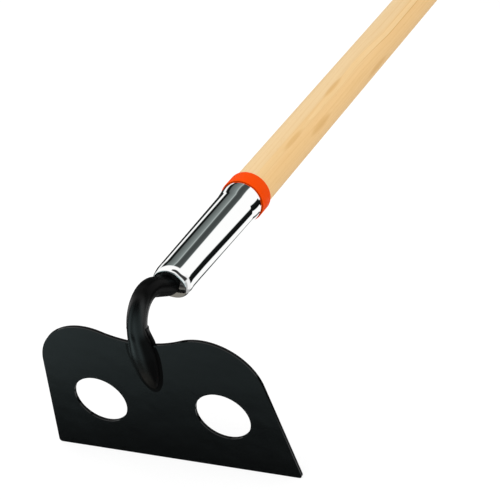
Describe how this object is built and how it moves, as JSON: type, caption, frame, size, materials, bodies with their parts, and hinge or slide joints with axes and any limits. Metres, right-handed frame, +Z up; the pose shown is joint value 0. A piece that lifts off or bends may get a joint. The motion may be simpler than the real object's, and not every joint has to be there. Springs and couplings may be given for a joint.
{
  "type": "cement hoe",
  "caption": "Mortar mixing hoe: a holed blade on a gooseneck bar, with a chrome ferrule, a plastic collar and a long turned wooden handle.",
  "frame": {"origin": "middle of the cutting edge's land, on the floor when the hoe rests on that edge and on its butt", "axes": "+X along the cutting edge, +Y from the blade towards the butt of the handle, +Z up; the blade's front face looks along -Y"},
  "size_m": [0.253, 1.4541, 0.1854],
  "materials": {
    "blade": "satin black paint",
    "neck": "satin black paint",
    "front_weld": "satin black paint",
    "rear_weld": "satin black paint",
    "ferrule": "bright chrome plate",
    "collar": "semi-gloss orange",
    "handle": "clear-varnished pale wood",
    "nail": "plain steel"
  },
  "bodies": {
    "root": {"blade": "blade", "neck": "neck", "front_weld": "front_weld", "rear_weld": "rear_weld", "ferrule": "ferrule", "collar": "collar", "handle": "handle", "nail": "nail"}
  },
  "joints": []
}
